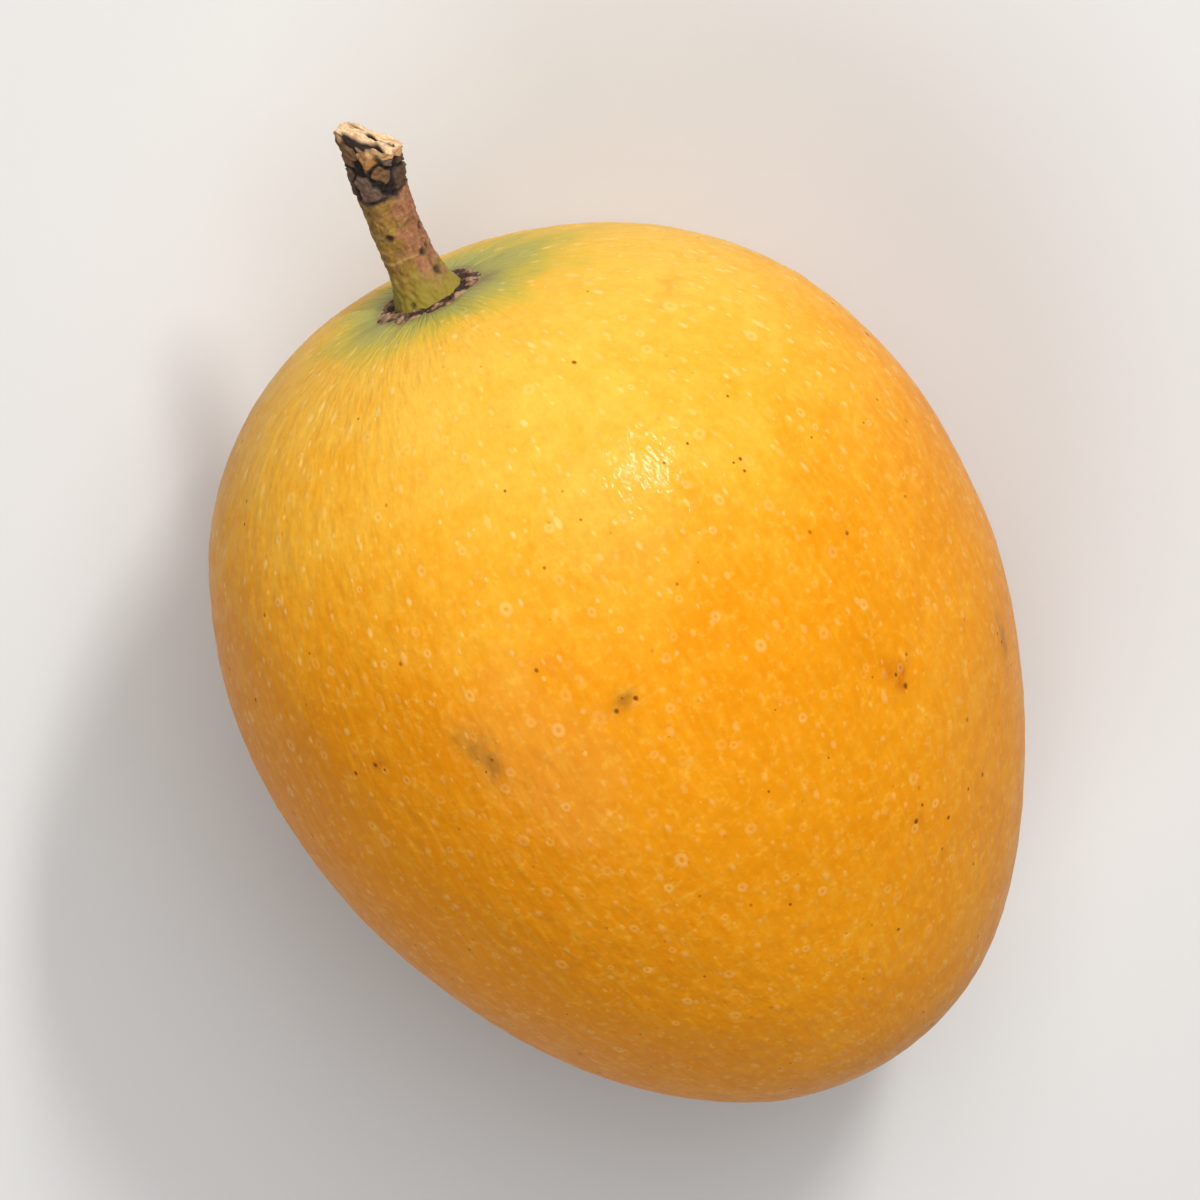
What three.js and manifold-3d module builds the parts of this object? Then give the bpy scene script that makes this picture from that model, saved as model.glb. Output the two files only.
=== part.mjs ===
// A whole mango lying on its cheek: the fruit, the crust of its calyx and the broken stalk.
// Millimetres, +Z up, +Y towards the stalk, origin in the middle of the spot it rests on.

import * as THREE from 'three';
import { mergeVertices } from 'three/addons/utils/BufferGeometryUtils.js';
import Module from 'manifold-3d';

// Fruit. Along is the long axis towards the stalk, across is the width, up is the thickness.
const HALF_LENGTH = 47;
const HALF_WIDTH = 37.3;
const HALF_THICKNESS = 33.6;
const EGG = 0.116;               // share by which the stalk end is fuller than the nose
const SHOULDER_FULLNESS = 0.098; // extra girth of the shoulders
const NOSE_FULLNESS = -0.07;     // girth missing towards the nose
const TIP_BLUNTNESS = 0.12;      // girth given back to the tip of the nose
const TIP_SHIFT = 1.5;           // the tip leans to one side
const STEM_SLANT = -0.06;        // one shoulder stands further out than the other
const DIMPLE_DEPTH = 1.7;
const DIMPLE_RADIUS = 9;
const WAVE = 0.22;               // faint unevenness of the flesh
const FRUIT_AROUND = 72;
const FRUIT_RINGS = 40;
const RINGS_TO_STEM = 1.25;      // power that draws the rings together towards the dimple

// Lying at rest
const REST_TILT = THREE.MathUtils.degToRad(4.9); // stalk end up
const REST_FLAT = 0.35;          // depth of the flat spot
const REST_ALONG = 3.1;          // place of the flat spot, from the fruit's middle
const REST_DEPTH = 33.48;        // the fruit's middle over the skin's lowest point, before the cut

// Stalk and calyx, both round the middle of the dimple
const GAP = 0.3;
const STALK_LENGTH = 17.3;
const STALK_RADIUS = 2.4;
const STALK_FOOT = 3.6;          // radius of the flared foot
const FLARE_HEIGHT = 2.3;
const FLARE_SHARPNESS = 1.6;
const STALK_BEND = 2.5;          // sideways reach of the top
const KNOB_RADIUS = 0.3;         // extra radius of the scarred knuckle
const KNOB_PLACE = 0.82;         // share of the length
const KNOB_REACH = 0.12;
const RIDGE_HEIGHT = 0.07;       // five low ridges that wind up the bark
const RIDGES = 5;
const RIDGE_TURN = 4;
const RIDGE_RISE = 6;            // how fast the ridges grow out of the foot
const BREAK_SLANT = 0.62;        // the broken end falls by this for each millimetre across
const BREAK_LEAN = 0.18;         // and by this for each millimetre up
const BREAK_DEPTH = 8;           // power that keeps the slant to the top of the stalk
const SPLINTER = 0.5;
const SPLINTER_PITCH = 2.3;      // radians for each millimetre
const SPLINTER_TEAR = 1.7;
const STALK_AROUND = 22;
const STALK_RINGS = 26;
const BREAK_RINGS = 4;
const CALYX_INNER = STALK_FOOT + GAP;
const CALYX_OUTER = 5.5;
const CALYX_THICKNESS = 0.45;
const CALYX_INNER_THICKNESS = 0.35;
const CALYX_RIM_THICKNESS = 0.18;
const CALYX_UNEVEN = 0.3;        // five scallops round the outer edge
const CALYX_SCALLOPS = 5;
const CALYX_AROUND = 44;

const wasm = await Module();
wasm.setup();

// A point of the fruit from its polar angle (0 at the stem) and its angle round the long axis.
function fruitPoint(polar, round) {
  const u = Math.cos(polar);
  const stem = Math.max(u, 0) ** 2;
  const nose = Math.max(-u, 0) ** 2;
  const tip = nose ** 2;
  const fullness = 1 + EGG * u + SHOULDER_FULLNESS * stem + NOSE_FULLNESS * nose + TIP_BLUNTNESS * tip;
  const girth = Math.sin(polar) * fullness;
  const lobes = Math.sin(3 * round) * Math.cos(2 * polar) + Math.cos(4 * round);
  const wave = WAVE * Math.sin(polar) ** 2 * lobes;
  const across = (HALF_WIDTH + wave) * girth * Math.cos(round) + TIP_SHIFT * tip;
  const up = (HALF_THICKNESS + wave) * girth * Math.sin(round);
  const along = HALF_LENGTH * u + STEM_SLANT * stem * across - dimple(across, up, u);
  return [along, across, up];
}

function dimple(across, up, u) {
  return u > 0 ? DIMPLE_DEPTH * Math.exp(-(across ** 2 + up ** 2) / DIMPLE_RADIUS ** 2) : 0;
}

// How far along the skin lies at a place near the stem, found by closing in on its polar angle.
function skinAlong(across, up) {
  const reach = Math.hypot(across / HALF_WIDTH, up / HALF_THICKNESS);
  let sine = reach;
  for (let step = 0; step < 4; step += 1) {
    const u = Math.sqrt(1 - sine ** 2);
    sine = reach / (1 + EGG * u + SHOULDER_FULLNESS * u ** 2);
  }
  const u = Math.sqrt(1 - sine ** 2);
  return HALF_LENGTH * u + STEM_SLANT * u ** 2 * across - dimple(across, up, u);
}

// Turns fruit coordinates (along, across, up) into the frame of the fruit as it lies.
function lie(along, across, up) {
  const y = along * Math.cos(REST_TILT) - up * Math.sin(REST_TILT) - REST_ALONG;
  const z = along * Math.sin(REST_TILT) + up * Math.cos(REST_TILT) + REST_DEPTH - REST_FLAT;
  return [across, y, z];
}

function reshape(geometry, place) {
  const position = geometry.getAttribute('position');
  for (let i = 0; i < position.count; i += 1) {
    position.setXYZ(i, ...lie(...place(position.getX(i), position.getY(i), position.getZ(i))));
  }
  geometry.deleteAttribute('normal');
  geometry.deleteAttribute('uv');
  return mergeVertices(geometry, 1e-4);
}

function solidOf(geometry) {
  const vertProperties = new Float32Array(geometry.getAttribute('position').array);
  const triVerts = new Uint32Array(geometry.getIndex().array);
  return new wasm.Manifold(new wasm.Mesh({ numProp: 3, vertProperties, triVerts }));
}

function geometryOf(solid) {
  const mesh = solid.getMesh();
  const geometry = new THREE.BufferGeometry();
  geometry.setAttribute('position', new THREE.BufferAttribute(mesh.vertProperties, 3));
  geometry.setIndex(new THREE.BufferAttribute(mesh.triVerts, 1));
  geometry.computeVertexNormals();
  return geometry;
}

// The skin's solid is a unit sphere reshaped by fruitPoint, with the resting spot cut flat.
function fruitGeometry() {
  const place = (x, y, z) => {
    const polar = Math.PI * (Math.acos(THREE.MathUtils.clamp(y, -1, 1)) / Math.PI) ** RINGS_TO_STEM;
    return fruitPoint(polar, Math.atan2(z, x));
  };
  const whole = solidOf(reshape(new THREE.SphereGeometry(1, FRUIT_AROUND, FRUIT_RINGS), place));
  const room = 4 * HALF_LENGTH;
  const above = new THREE.BoxGeometry(room, room, room).translate(0, 0, room / 2);
  above.deleteAttribute('normal');
  above.deleteAttribute('uv');
  return geometryOf(whole.intersect(solidOf(mergeVertices(above))));
}

// Radius of the stalk at a share of its length: a flared foot, a slim middle and a knuckle.
function stalkRadius(share, round) {
  const spread = (share * STALK_LENGTH) / FLARE_HEIGHT;
  const flare = (STALK_FOOT - STALK_RADIUS) * Math.exp(-(spread ** FLARE_SHARPNESS));
  const knuckle = KNOB_RADIUS * Math.exp(-(((share - KNOB_PLACE) / KNOB_REACH) ** 2));
  const ridges = RIDGE_HEIGHT * Math.cos(RIDGES * round + RIDGE_TURN * share);
  return STALK_RADIUS + flare + knuckle + ridges * Math.min(1, RIDGE_RISE * share);
}

// Height of the broken end over its mean: a slant with splinters.
function breakHeight(across, up) {
  const splinters = Math.cos(SPLINTER_PITCH * across + up) * Math.cos(SPLINTER_TEAR * up - across);
  return -BREAK_SLANT * across - BREAK_LEAN * up + SPLINTER * splinters;
}

// The stalk is a lathed unit bar, its radius and its axis given by functions of its height.
function stalkGeometry() {
  const profile = [new THREE.Vector2(0, 0), new THREE.Vector2(0.5, 0)];
  for (let ring = 0; ring <= STALK_RINGS; ring += 1) {
    profile.push(new THREE.Vector2(1, ring / STALK_RINGS));
  }
  for (let ring = BREAK_RINGS - 1; ring >= 0; ring -= 1) {
    profile.push(new THREE.Vector2(ring / BREAK_RINGS, 1));
  }
  const place = (x, share, z) => {
    const radius = stalkRadius(share, Math.atan2(z, x));
    const across = x * radius;
    const up = z * radius;
    const reach = share * STALK_LENGTH + breakHeight(across, up) * share ** BREAK_DEPTH;
    const foot = skinAlong(across, up) + GAP;
    const lean = (2 * STALK_BEND * share) / STALK_LENGTH;
    return [foot + reach - lean * across * share, across + STALK_BEND * share ** 2, up];
  };
  return reshape(new THREE.LatheGeometry(profile, STALK_AROUND), place);
}

// The calyx is a thin crusty ring on the skin round the stalk's foot, with an uneven edge.
function calyxGeometry() {
  const middle = (CALYX_INNER + CALYX_OUTER) / 2;
  const profile = [
    new THREE.Vector2(CALYX_INNER, 0),
    new THREE.Vector2(CALYX_OUTER, 0),
    new THREE.Vector2(CALYX_OUTER, CALYX_RIM_THICKNESS),
    new THREE.Vector2(middle, CALYX_THICKNESS),
    new THREE.Vector2(CALYX_INNER, CALYX_INNER_THICKNESS),
    new THREE.Vector2(CALYX_INNER, 0),
  ];
  const place = (x, height, z) => {
    const round = Math.atan2(z, x);
    const outwards = (Math.hypot(x, z) - CALYX_INNER) / (CALYX_OUTER - CALYX_INNER);
    const uneven = CALYX_UNEVEN * Math.cos(CALYX_SCALLOPS * round);
    const radius = Math.hypot(x, z) + outwards * uneven;
    const across = radius * Math.cos(round);
    const up = radius * Math.sin(round);
    return [skinAlong(across, up) + GAP + height, across, up];
  };
  return reshape(new THREE.LatheGeometry(profile, CALYX_AROUND), place);
}

function piece(name, geometry, color, roughness) {
  const mesh = new THREE.Mesh(geometry, new THREE.MeshStandardMaterial({ color, roughness, metalness: 0 }));
  mesh.name = name;
  return mesh;
}

const mango = new THREE.Group();
mango.name = 'mango';
mango.add(piece('fruit', fruitGeometry(), 0xf2a61c, 0.42));
mango.add(piece('calyx', calyxGeometry(), 0x5a3d33, 0.9));
mango.add(piece('stalk', stalkGeometry(), 0x96704a, 0.85));

export default mango;
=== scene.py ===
"""A ripe mango lying on its cheek, with the crust of its calyx and a broken stalk.

Metres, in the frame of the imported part: +Z up, +Y towards the stalk, the origin in the middle of
the spot that the fruit rests on. Forms are worked out in millimetres on the fruit's own axes, which
are along (towards the stalk), across (its width) and up (its thickness), and then laid down. A
place on the skin is a polar angle, 0 at the stalk, and an angle around the long axis.
"""
import math

import bpy
import numpy as np
from mathutils import Euler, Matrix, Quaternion, Vector


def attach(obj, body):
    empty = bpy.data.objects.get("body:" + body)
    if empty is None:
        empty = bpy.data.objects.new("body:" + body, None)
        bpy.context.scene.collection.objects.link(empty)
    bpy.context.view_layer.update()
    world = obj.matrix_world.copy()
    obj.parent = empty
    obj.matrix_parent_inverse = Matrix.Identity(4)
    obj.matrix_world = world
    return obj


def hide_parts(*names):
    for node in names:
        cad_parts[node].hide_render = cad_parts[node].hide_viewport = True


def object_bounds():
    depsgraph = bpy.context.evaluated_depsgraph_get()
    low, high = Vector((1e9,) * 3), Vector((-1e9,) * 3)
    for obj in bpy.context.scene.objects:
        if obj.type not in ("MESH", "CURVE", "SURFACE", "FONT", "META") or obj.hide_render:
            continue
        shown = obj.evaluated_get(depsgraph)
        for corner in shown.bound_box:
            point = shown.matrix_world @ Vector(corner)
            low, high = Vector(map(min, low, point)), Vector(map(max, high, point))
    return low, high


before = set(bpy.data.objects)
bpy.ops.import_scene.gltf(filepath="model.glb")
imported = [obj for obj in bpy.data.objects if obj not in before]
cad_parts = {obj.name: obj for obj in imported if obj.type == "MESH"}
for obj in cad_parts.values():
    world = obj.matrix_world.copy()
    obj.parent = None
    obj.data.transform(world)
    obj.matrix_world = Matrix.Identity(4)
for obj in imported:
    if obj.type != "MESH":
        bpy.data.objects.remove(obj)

cad_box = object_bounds()

MM = 0.001
TURN = 2 * math.pi
GOLDEN_ANGLE = math.pi * (3 - math.sqrt(5))

# Form of the fruit, in millimetres and in shares of its girth
HALF_LENGTH = 47.0
HALF_WIDTH = 37.3
HALF_THICKNESS = 33.6
EGG = 0.116                # the stalk end is fuller than the nose by this
SHOULDER_FULLNESS = 0.098  # extra girth of the shoulders
NOSE_FULLNESS = -0.07      # girth missing towards the nose
TIP_BLUNTNESS = 0.12       # girth given back to the tip of the nose
TIP_SHIFT = 1.5            # the tip leans to one side
STEM_SLANT = -0.06         # one shoulder stands further out than the other
DIMPLE_DEPTH = 1.7
DIMPLE_RADIUS = 9.0
WAVE = 0.22                # faint unevenness of the flesh

# Relief of the skin, in millimetres
BROAD_SWELL, BROAD_SWELL_LENGTH = 0.08, 17.0
SMALL_SWELL, SMALL_SWELL_LENGTH = 0.014, 4.5
PEEL_HEIGHT, PEEL_LENGTH = 0.018, 2.3
FURROW_HEIGHT = 0.055
FURROW_REACH = 7.0         # distance from the stalk's axis where the furrows are deepest
FURROW_SPREAD = 3.4

# Lying at rest
REST_TILT = math.radians(4.9)  # stalk end up
REST_FLAT = 0.35           # depth of the flat spot
REST_EDGE = 0.03           # rounding of its edge
REST_ALONG = 3.1           # place of the flat spot, from the fruit's middle
REST_DEPTH = 33.48         # the fruit's middle over the skin's lowest point, before the press

# Grid of the skin
SKIN_ROWS, SKIN_COLUMNS = 206, 452
ROWS_TO_STALK = 1.18       # power that draws the rows together towards the stalk

# Pores and specks, which are small closed caps on the skin
FULL_HEIGHT_RADIUS = 0.3   # smaller caps than this are lower in proportion
CAP_ROOT = 0.1             # depth of a cap's closed base under the skin

# Stalk, in millimetres
STALK_LENGTH = 17.3
STALK_RADIUS = 2.4
STALK_FOOT = 3.6           # radius of the flared foot
FLARE_HEIGHT = 2.3
FLARE_SHARPNESS = 1.6
STALK_BEND = 2.5           # sideways reach of the top
FOOT_SUNK = 0.4            # depth of the foot under the bare skin
RIDGE_HEIGHT = 0.07        # five low ridges that wind up the bark
KNUCKLE_RADIUS = 0.18
KNUCKLE_PLACE = 0.82       # share of the length
KNUCKLE_REACH = 0.12
BREAK_SLANT = 0.62         # the broken end falls by this for each millimetre across
BREAK_DEPTH = 8            # power that keeps the broken relief to the top of the stalk
PIT_DEPTH = 0.3
PIT_NARROWING = 0.8
PIT_SIZE = 1.12
RING_WIDTH = 0.17
RING_FADE = 12             # degrees over which the end of a ring scar fades
SIDE_ROWS, END_ROWS, STALK_COLUMNS = 236, 60, 220

# Calyx, in millimetres
CALYX_INNER = 3.3
CALYX_OUTER = 5.0
CALYX_THICKNESS = 0.30
CALYX_COLUMNS, CALYX_SECTION = 300, 60


# ---------------------------------------------------------------- forms as whole arrays


def smooth_step(low, high, value):
    """0 below low, 1 above high, and a smooth S between them; low may be the larger."""
    share = np.clip((value - low) / (high - low), 0, 1)
    return share * share * (3 - 2 * share)


def bell(distance, width):
    """1 at no distance, falling to 1/e at the width, as the exponent of the minus square."""
    return np.exp(-((distance / width) ** 2))


def wrap(angle):
    """The angle brought to between -pi and pi."""
    return (angle + math.pi) % TURN - math.pi


def unit(vectors):
    """The vectors brought to a length of one."""
    return vectors / np.linalg.norm(vectors, axis=-1, keepdims=True)


def off_axis(form):
    """Distance from the fruit's long axis."""
    return np.hypot(form[..., 1], form[..., 2])


def ripples(points, wavelength, seed, count=28):
    """A soft random field: the sum of plane waves in seeded directions, about -1 to 1 mostly."""
    shortest, longest = 0.7, 1.5
    gain = 0.7
    rng = np.random.default_rng(seed)
    way = unit(rng.normal(size=(count, 3)))
    pace = TURN / (wavelength * rng.uniform(shortest, longest, count))
    phase = rng.uniform(0, TURN, count)
    angle = points @ (way * pace[:, None]).T + phase
    return np.cos(angle).sum(-1) * math.sqrt(2 / count) * gain


def dimple(across, up, u):
    """Depth of the hollow at the stalk: a bell over the distance from the fruit's axis."""
    return np.where(u > 0, DIMPLE_DEPTH * np.exp(-(across**2 + up**2) / DIMPLE_RADIUS**2), 0)


def fruit_form(polar, around):
    """Fruit axes of the bare form. With u the cosine of the polar angle, the girth is its sine times
    1 + egg u + shoulder u^2 (stalk half) + nose u^2 + tip u^4 (nose half); along is the half length
    times u, slanted and dimpled at the stalk."""
    u = np.cos(polar)
    stem = np.maximum(u, 0) ** 2
    nose = np.maximum(-u, 0) ** 2
    tip = nose**2
    fullness = 1 + EGG * u + SHOULDER_FULLNESS * stem + NOSE_FULLNESS * nose + TIP_BLUNTNESS * tip
    girth = np.sin(polar) * fullness
    lobes = np.sin(3 * around) * np.cos(2 * polar) + np.cos(4 * around)
    wave = WAVE * np.sin(polar) ** 2 * lobes
    across = (HALF_WIDTH + wave) * girth * np.cos(around) + TIP_SHIFT * tip
    up = (HALF_THICKNESS + wave) * girth * np.sin(around)
    along = HALF_LENGTH * u + STEM_SLANT * stem * across - dimple(across, up, u)
    return np.stack([along, across, up], -1)


def fruit_slopes(polar, around):
    """The form's change per radian of polar angle and of angle around, by small steps."""
    step, pole_gap = 1e-4, 2e-3
    polar = np.clip(polar, pole_gap, math.pi - pole_gap)
    down = (fruit_form(polar + step, around) - fruit_form(polar - step, around)) / (2 * step)
    beside = (fruit_form(polar, around + step) - fruit_form(polar, around - step)) / (2 * step)
    return down, beside


def fruit_normal(polar, around):
    """Outward unit normal: the slope down the fruit crossed with the slope around it."""
    down, beside = fruit_slopes(polar, around)
    return unit(np.cross(down, beside))


def skin_relief(form, around):
    """Height of the skin over the bare form: slow swells, orange peel, and furrows at the stalk,
    which are cosines of the angle around under a bell over the distance from the axis."""
    swells = BROAD_SWELL * ripples(form, BROAD_SWELL_LENGTH, 1)
    swells = swells + SMALL_SWELL * ripples(form, SMALL_SWELL_LENGTH, 2)
    peel = PEEL_HEIGHT * ripples(form, PEEL_LENGTH, 3)
    near_stalk = (form[..., 0] > 0) * bell(off_axis(form) - FURROW_REACH, FURROW_SPREAD)
    furrows = np.cos(7 * around + 0.8) + 0.7 * np.cos(12 * around + 2.1) + 0.5 * np.cos(19 * around)
    return swells + peel + FURROW_HEIGHT * near_stalk * furrows


def tilt(vectors):
    """Fruit axes turned to those of the frame: across is X, and the stalk end is tilted up."""
    along, across, up = vectors[..., 0], vectors[..., 1], vectors[..., 2]
    y = along * math.cos(REST_TILT) - up * math.sin(REST_TILT)
    z = along * math.sin(REST_TILT) + up * math.cos(REST_TILT)
    return np.stack([across, y, z], -1)


def lie_down(form):
    """Fruit axes in millimetres to the frame in metres: tilted, and set on the floor."""
    return (tilt(form) + [0, -REST_ALONG, REST_DEPTH - REST_FLAT]) * MM


def rest_flat(points):
    """Presses what is under the floor up to it, with a rounded edge."""
    pressed = points.copy()
    edge = REST_EDGE * MM
    pressed[..., 2] = (points[..., 2] + np.sqrt(points[..., 2] ** 2 + edge**2)) / 2
    return pressed


def skin_at(polar, around, lift=0.0):
    """Places on the finished skin, or a lift above it, as fruit axes in millimetres."""
    form = fruit_form(polar, around)
    height = skin_relief(form, around) + lift
    return form + fruit_normal(polar, around) * height[..., None]


def skin_normal(polar, around):
    """Outward unit normal of the finished skin, from small steps down and around it."""
    step, pole_gap = 4e-4, 4e-3
    polar = np.clip(polar, pole_gap, math.pi - pole_gap)
    down = skin_at(polar + step, around) - skin_at(polar - step, around)
    beside = skin_at(polar, around + step) - skin_at(polar, around - step)
    return unit(np.cross(down, beside))


def skin_along(across, up):
    """How far along the bare skin lies near the stalk, closing in on its polar angle's sine."""
    closing_steps = 4
    reach = np.hypot(across / HALF_WIDTH, up / HALF_THICKNESS)
    sine = reach
    for _ in range(closing_steps):
        u = np.sqrt(1 - sine**2)
        sine = reach / (1 + EGG * u + SHOULDER_FULLNESS * u**2)
    u = np.sqrt(1 - sine**2)
    return HALF_LENGTH * u + STEM_SLANT * u**2 * across - dimple(across, up, u)


# ---------------------------------------------------------------- meshes from arrays


def new_piece(name, points, faces, values):
    """A smooth mesh object from points (n, 3) and lists of equal-sided face arrays, with values."""
    mesh = bpy.data.meshes.new(name)
    corners = np.concatenate([f.ravel() for f in faces]).astype(np.int32)
    sides = np.concatenate([np.full(len(f), f.shape[1]) for f in faces]).astype(np.int32)
    starts = np.concatenate([[0], np.cumsum(sides)[:-1]]).astype(np.int32)
    mesh.vertices.add(len(points))
    mesh.vertices.foreach_set("co", np.ascontiguousarray(points, np.float32).ravel())
    mesh.loops.add(len(corners))
    mesh.loops.foreach_set("vertex_index", corners)
    mesh.polygons.add(len(sides))
    mesh.polygons.foreach_set("loop_start", starts)
    mesh.polygons.foreach_set("use_smooth", np.ones(len(sides), bool))
    mesh.update(calc_edges=True)
    mesh.validate()
    for key, value in values.items():
        kind, field = ("FLOAT_VECTOR", "vector") if value.ndim == 2 else ("FLOAT", "value")
        layer = mesh.attributes.new(key, kind, "POINT")
        layer.data.foreach_set(field, np.ascontiguousarray(value, np.float32).ravel())
    piece = bpy.data.objects.new(name, mesh)
    bpy.context.scene.collection.objects.link(piece)
    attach(piece, "root")
    return piece


def barrel_faces(rows, columns):
    """Faces of a closed skin: a pole, rows of columns that wrap round, and a pole at the far end."""
    at = 1 + np.arange(rows * columns).reshape(rows, columns)
    side = np.roll(at, -1, 1)
    quads = np.stack([at[:-1], side[:-1], side[1:], at[1:]], -1).reshape(-1, 4)
    last = rows * columns + 1
    first_fan = np.stack([np.zeros(columns, int), side[0], at[0]], -1)
    last_fan = np.stack([np.full(columns, last), at[-1], side[-1]], -1)
    return [quads, first_fan, last_fan]


def barrel(grid):
    """A grid of rows by columns with its first and last rows drawn into one point each."""
    return np.concatenate([grid[:1, 0], grid[1:-1].reshape(-1, *grid.shape[2:]), grid[-1:, 0]])


# ---------------------------------------------------------------- what the skin looks like where


def ripeness_and_shade(form):
    """0 lemon to 1 amber: turns from the shoulders to the middle, in soft uneven patches. The extra
    amber towards the left side is painted shade, and the right side is a little paler."""
    along, across = form[..., 0], form[..., 1]
    least, gain, left_shade, right_loss = 0.02, 0.78, 0.30, 0.06
    slow = gain * smooth_step(47, 7, along)
    patches = 0.02 * ripples(form, 30.0, 11) + 0.035 * ripples(form, 12.0, 12)
    # Painted shade: deeper amber towards the left side; a little paler towards the right.
    side = left_shade * smooth_step(6, -32, across) - right_loss * smooth_step(5, 25, across)
    return np.clip(least + slow + side + patches, 0, 1)


def green_flush(form, around):
    """0 to 1: green left round the stalk, reaching furthest along one shoulder."""
    all_round, left_reach, right_reach, full_green = 12.6, 3.4, 9.0, 4.5
    right = np.maximum(np.cos(around + 0.08), 0) ** 1.5
    left = np.maximum(np.cos(around - 2.85), 0) ** 4
    far = all_round + left_reach * left + right_reach * right
    ragged = 1 + 0.09 * ripples(form, 8.0, 21) + 0.07 * ripples(form, 3.0, 22)
    return (form[..., 0] > 0) * smooth_step(far * ragged * 1.1, full_green, off_axis(form))


def crust_stain(form, around):
    """0 to 1: the stain under the calyx, a disc with a trail on each side."""
    reach = off_axis(form)
    trail = bell(wrap(around - 0.38), 0.34) + 0.6 * bell(wrap(around - 2.75), 0.3)
    disc = 0.7 * smooth_step(6.4, 5.2, reach)
    return (form[..., 0] > 0) * np.maximum(disc, trail * smooth_step(9.5, 5.0, reach))


# Soft marks: polar angle and angle around (degrees), size along and around (mm), strength
GREY_SMUDGES = [
    (75.5, 109.0, 2.3, 1.3, 0.85),
    (72.5, 111.5, 1.4, 1.0, 0.45),
    (75.6, 86.5, 0.9, 1.2, 0.75),
    (102.0, 16.0, 2.6, 0.8, 0.6),
    (118.0, 250.0, 2.8, 1.6, 0.7),
    (58.0, 318.0, 1.9, 1.2, 0.5),
]
ORANGE_SCUFFS = [
    (93.0, 46.5, 1.5, 0.9, 1.0),
    (91.0, 48.5, 1.6, 0.8, 0.5),
    (73.0, 128.0, 0.9, 1.0, 0.6),
    (34.0, 26.0, 0.9, 2.6, 0.35),
    (111.5, 52.5, 1.1, 0.9, 0.5),
    (88.0, 200.0, 1.6, 1.2, 0.7),
    (132.0, 330.0, 1.5, 1.1, 0.8),
    (64.0, 262.0, 1.4, 1.0, 0.7),
]
MARK_LIMIT = 12  # no mark reaches further than this, in millimetres

# Specks with places of their own: polar angle and angle around (degrees), radius (mm)
NOTED_SPECKS = [
    (76.0, 84.9, 0.46), (76.3, 88.2, 0.42), (75.2, 86.6, 0.20),
    (92.6, 47.0, 0.34), (94.6, 46.2, 0.46), (111.0, 53.2, 0.46),
    (114.2, 45.8, 0.36), (109.6, 51.0, 0.26), (72.7, 128.5, 0.42),
    (73.4, 127.2, 0.32), (75.8, 108.4, 0.26), (77.0, 110.2, 0.22),
    (64.0, 155.0, 0.40), (102.0, 17.2, 0.34), (100.4, 18.4, 0.26),
]


def soft_marks(form, marks, seed):
    """Sum of bells at the marks' places, broken up by ripples, 0 to 1."""
    total = np.zeros(form.shape[:-1])
    for polar, around, long_size, wide_size, strength in marks:
        at = np.array([math.radians(polar)]), np.array([math.radians(around)])
        down, beside = (unit(slope[0]) for slope in fruit_slopes(*at))
        gap = form - fruit_form(*at)[0]
        spot = bell(gap @ down, long_size) * bell(gap @ beside, wide_size)
        total += strength * spot * (np.linalg.norm(gap, axis=-1) < MARK_LIMIT)
    return np.clip(total * (1 + 0.5 * ripples(form, 1.6, seed)), 0, 1)


def skin_values(polar, around, form):
    """What the skin's material reads at each point: ripeness, flush, marks, and the grain, which is
    a direction round the fruit and a slow run along it, so that streaks follow the meridians."""
    return {
        "ripeness_and_shade": ripeness_and_shade(form),
        "flush": green_flush(form, around),
        "smudge": soft_marks(form, GREY_SMUDGES, 31),
        "scuff": soft_marks(form, ORANGE_SCUFFS, 32),
        "stain": crust_stain(form, around),
        "grain": np.stack([np.cos(around), np.sin(around), 0.55 * polar], -1),
    }


def flat_values(values):
    """The values with all points in one row; the grain keeps its three numbers a point."""
    return {key: value.reshape(-1, 3) if key == "grain" else value.ravel()
            for key, value in values.items()}


# ---------------------------------------------------------------- pieces on the skin


def make_skin():
    """The fruit's skin on a grid of polar angle by angle around, rows drawn towards the stalk."""
    polar = (math.pi * np.linspace(0, 1, SKIN_ROWS) ** ROWS_TO_STALK)[:, None]
    around = (np.arange(SKIN_COLUMNS) * TURN / SKIN_COLUMNS)[None, :]
    polar, around = np.broadcast_arrays(polar, around)
    form = skin_at(polar, around)
    values = skin_values(polar, around, form)
    values["pale"] = np.zeros(polar.shape)
    values["dark"] = np.zeros(polar.shape)
    points = barrel(rest_flat(lie_down(form)))
    values = {key: barrel(value) for key, value in values.items()}
    skin = new_piece("mango_skin", points, barrel_faces(SKIN_ROWS - 2, SKIN_COLUMNS), values)
    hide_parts("fruit")
    return skin


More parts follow.
